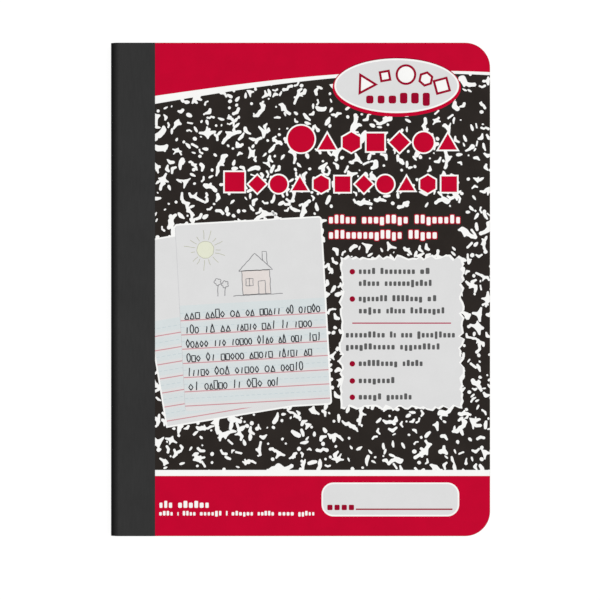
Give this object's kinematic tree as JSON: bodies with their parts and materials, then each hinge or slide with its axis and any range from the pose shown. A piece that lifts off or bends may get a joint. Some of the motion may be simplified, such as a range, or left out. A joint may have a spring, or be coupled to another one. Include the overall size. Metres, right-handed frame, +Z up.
{
  "type": "composition notebook",
  "caption": "Sewn composition notebook with stiff marbled board covers, a black cloth tape round the spine, round fore-edge corners and hinged front and back covers.",
  "frame": {"origin": "centre of the underside of the closed book, on the surface that it lies on", "axes": "+X from the spine to the fore edge, +Y to the head, +Z up through the front cover"},
  "size_m": [0.1905, 0.2476, 0.0107],
  "materials": {
    "leaves": "matte",
    "thread": "matte",
    "cloth_tape": "satin",
    "board": "satin",
    "endpaper": "matte",
    "black_ink": "satin",
    "red_ink": "satin",
    "grey_ink": "satin"
  },
  "bodies": {
    "block": {"page_block": "leaves", "sewing_thread": "thread", "spine_tape": "cloth_tape"},
    "front_cover": {"front_cover": "board", "front_endpaper": "endpaper", "front_tape": "cloth_tape", "front_black_print": "black_ink", "front_red_print": "red_ink", "front_grey_print": "grey_ink"},
    "back_cover": {"back_cover": "board", "back_endpaper": "endpaper", "back_tape": "cloth_tape", "back_black_print": "black_ink"}
  },
  "joints": [
    {"name": "front_hinge", "type": "hinge", "parent": "block", "child": "front_cover", "pos_m": [-0.0915, 0, 0.01074], "axis": [0, -1, 0], "range_deg": [0, 183]},
    {"name": "back_hinge", "type": "hinge", "parent": "block", "child": "back_cover", "pos_m": [-0.0915, 0, 0], "axis": [0, 1, 0], "range_deg": [0, 180]}
  ]
}
